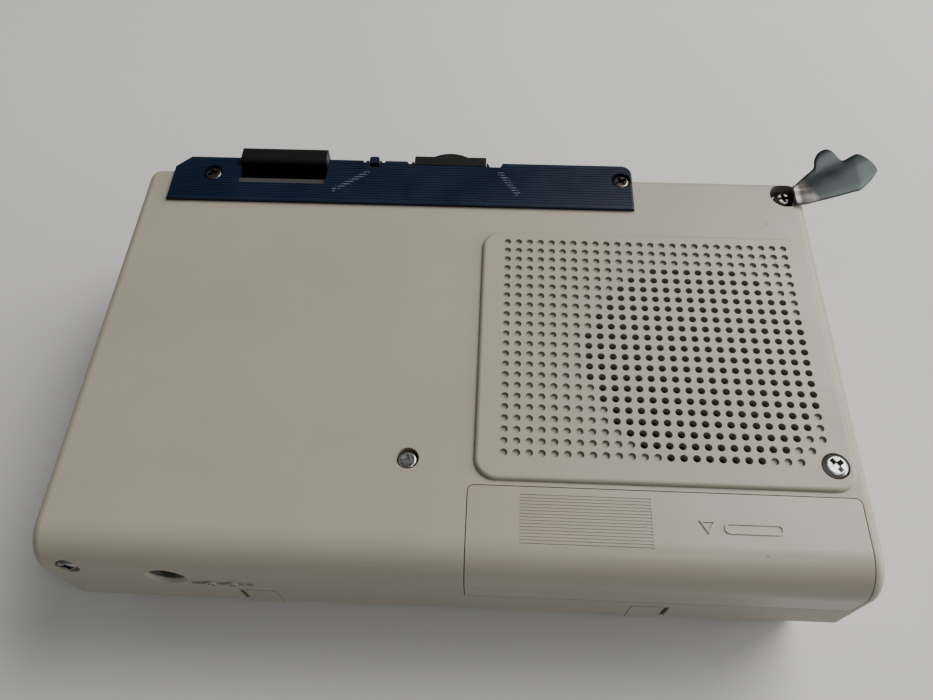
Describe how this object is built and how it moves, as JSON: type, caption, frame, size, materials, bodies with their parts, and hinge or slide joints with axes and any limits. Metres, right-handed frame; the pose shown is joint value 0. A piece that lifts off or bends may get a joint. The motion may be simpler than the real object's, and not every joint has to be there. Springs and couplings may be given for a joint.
{
  "type": "portable cassette player",
  "caption": "Hand-held cassette player lying on its front: speaker grille and sliding battery door on the back, ribbed control panel with keys on the far edge.",
  "frame": {"origin": "centre of the case on the front face that it rests on", "axes": "+X along the case towards the strap corner, +Y towards the keys, +Z out of the back with the speaker grille"},
  "size_m": [0.1769, 0.1077, 0.0418],
  "materials": {
    "casing": "fine satin, warm light grey",
    "casing_door": "satin, slightly glossier than the casing",
    "panel_blue": "dark navy, finely ribbed",
    "black_plastic": "satin black",
    "grey_plastic": "dark grey",
    "bright_screw": "nickel plated",
    "strap_metal": "dark polished metal",
    "plate_steel": "zinc plated sheet",
    "turned_steel": "ground steel",
    "brass": "turned brass",
    "white_plastic": "acetal",
    "rubber_black": "matte rubber",
    "board_green": "lacquered board",
    "component_black": "moulded parts",
    "window_smoke": "smoky clear plastic",
    "cone_paper": "pressed paper",
    "ferrite": "ferrite and plated yoke",
    "lamp_red": "clear red"
  },
  "bodies": {
    "case": {"back_shell": "casing", "speaker_grille": "casing", "front_shell": "casing", "battery_box": "casing", "battery_contacts": "turned_steel", "battery_springs": "turned_steel", "case_screws": "bright_screw", "control_panel": "panel_blue", "key_springs": "turned_steel", "key_frame": "plate_steel", "key_guide": "grey_plastic", "volume_surround": "black_plastic", "volume_pot": "plate_steel", "control_board": "board_green", "panel_screws": "bright_screw", "chassis_plate": "plate_steel", "inner_screws": "bright_screw", "bearing_plate": "plate_steel", "drive_belt": "rubber_black", "motor_bracket": "plate_steel", "motor": "plate_steel", "speaker_frame": "plate_steel", "speaker_magnet": "ferrite", "speaker_cone": "cone_paper", "speaker_gasket": "cone_paper", "circuit_board": "board_green", "board_parts": "component_black", "power_socket": "component_black", "earphone_socket": "component_black", "microphone_socket": "component_black", "power_lamp": "lamp_red", "microphone": "plate_steel"},
    "battery_door": {"battery_door": "casing_door"},
    "pause_key": {"pause_key": "black_plastic"},
    "record_key": {"record_key": "black_plastic"},
    "play_key": {"play_key": "black_plastic"},
    "rewind_key": {"rewind_key": "black_plastic"},
    "fast_forward_key": {"fast_forward_key": "black_plastic"},
    "stop_eject_key": {"stop_eject_key": "black_plastic"},
    "lock_button": {"lock_button": "panel_blue"},
    "volume_wheel": {"volume_wheel": "black_plastic"},
    "flywheel": {"flywheel": "brass", "capstan": "turned_steel", "drive_gear": "white_plastic"},
    "idler_gear": {"idler_gear": "white_plastic"},
    "take_up_reel": {"take_up_spindle": "white_plastic", "reel_gear": "white_plastic"},
    "supply_reel": {"supply_spindle": "white_plastic", "brake_drum": "rubber_black"},
    "motor_rotor": {"motor_pulley": "brass", "motor_shaft": "turned_steel"},
    "head_bridge": {"head_bridge": "plate_steel", "play_head": "turned_steel", "erase_head": "component_black"},
    "pinch_arm": {"pinch_arm": "plate_steel"},
    "pinch_roller": {"pinch_roller": "rubber_black"},
    "cassette_door": {"cassette_door": "casing", "door_window": "window_smoke", "door_pins": "turned_steel"},
    "strap_tab": {"strap_tab": "strap_metal"}
  },
  "joints": [
    {"name": "battery_door_slide", "type": "slide", "parent": "case", "child": "battery_door", "axis": [0, -1, 0], "range_m": [0, 0.02]},
    {"name": "pause_key_push", "type": "slide", "parent": "case", "child": "pause_key", "axis": [0, -1, 0], "range_m": [0, 0.003], "stiffness_N_per_m": 250, "springref_m": -0.002},
    {"name": "record_key_push", "type": "slide", "parent": "case", "child": "record_key", "axis": [0, -1, 0], "range_m": [0, 0.003], "stiffness_N_per_m": 250, "springref_m": -0.002},
    {"name": "play_key_push", "type": "slide", "parent": "case", "child": "play_key", "axis": [0, -1, 0], "range_m": [0, 0.0029]},
    {"name": "rewind_key_push", "type": "slide", "parent": "case", "child": "rewind_key", "axis": [0, -1, 0], "range_m": [0, 0.003], "stiffness_N_per_m": 250, "springref_m": -0.002},
    {"name": "fast_forward_key_push", "type": "slide", "parent": "case", "child": "fast_forward_key", "axis": [0, -1, 0], "range_m": [0, 0.003], "stiffness_N_per_m": 250, "springref_m": -0.002},
    {"name": "stop_eject_key_push", "type": "slide", "parent": "case", "child": "stop_eject_key", "axis": [0, -1, 0], "range_m": [0, 0.0032], "stiffness_N_per_m": 300, "springref_m": -0.002},
    {"name": "lock_button_push", "type": "slide", "parent": "case", "child": "lock_button", "axis": [0, -1, 0], "range_m": [0, 0.0012], "stiffness_N_per_m": 200, "springref_m": -0.001},
    {"name": "volume_turn", "type": "hinge", "parent": "case", "child": "volume_wheel", "pos_m": [-0.0053, 0.0482, 0.0372], "axis": [0, 0, 1], "range_deg": [-135, 135]},
    {"name": "flywheel_spin", "type": "hinge", "parent": "case", "child": "flywheel", "pos_m": [-0.029, 0.0284, 0.02], "axis": [0, 0, 1], "continuous": true},
    {"name": "idler_spin", "type": "hinge", "parent": "case", "child": "idler_gear", "pos_m": [-0.0214, 0.0219, 0.023], "axis": [0, 0, 1], "continuous": true},
    {"name": "take_up_spin", "type": "hinge", "parent": "case", "child": "take_up_reel", "pos_m": [-0.02125, 0.0059, 0.02], "axis": [0, 0, 1], "continuous": true},
    {"name": "supply_spin", "type": "hinge", "parent": "case", "child": "supply_reel", "pos_m": [0.02125, 0.0059, 0.02], "axis": [0, 0, 1], "continuous": true},
    {"name": "motor_spin", "type": "hinge", "parent": "case", "child": "motor_rotor", "pos_m": [-0.062, -0.01, 0.02], "axis": [0, 0, 1], "continuous": true},
    {"name": "head_bridge_slide", "type": "slide", "parent": "case", "child": "head_bridge", "axis": [0, -1, 0], "range_m": [0, 0.0058], "stiffness_N_per_m": 120, "springref_m": -0.003},
    {"name": "pinch_arm_swing", "type": "hinge", "parent": "head_bridge", "child": "pinch_arm", "pos_m": [-0.0374, 0.0379, 0.013], "axis": [0, 0, 1], "range_deg": [0, 5], "stiffness_Nm_per_rad": 0.02, "springref_deg": -11.46},
    {"name": "pinch_roller_spin", "type": "hinge", "parent": "pinch_arm", "child": "pinch_roller", "pos_m": [-0.029, 0.0404, 0.008], "axis": [0, 0, 1], "continuous": true},
    {"name": "cassette_door_open", "type": "hinge", "parent": "case", "child": "cassette_door", "pos_m": [0, -0.0479, 0.0202], "axis": [-1, 0, 0], "range_deg": [0, 45]},
    {"name": "strap_tab_swing", "type": "hinge", "parent": "case", "child": "strap_tab", "pos_m": [0.0753, 0.0447, 0.036], "axis": [0, 0, 1], "range_deg": [-6, 6]}
  ],
  "couplings": [
    {"joint": "idler_spin", "follows": "flywheel_spin", "ratio": -0.66667},
    {"joint": "take_up_spin", "follows": "flywheel_spin", "ratio": 0.4},
    {"joint": "motor_spin", "follows": "flywheel_spin", "ratio": 5.6667},
    {"joint": "play_key_push", "follows": "head_bridge_slide", "ratio": 0.5}
  ]
}
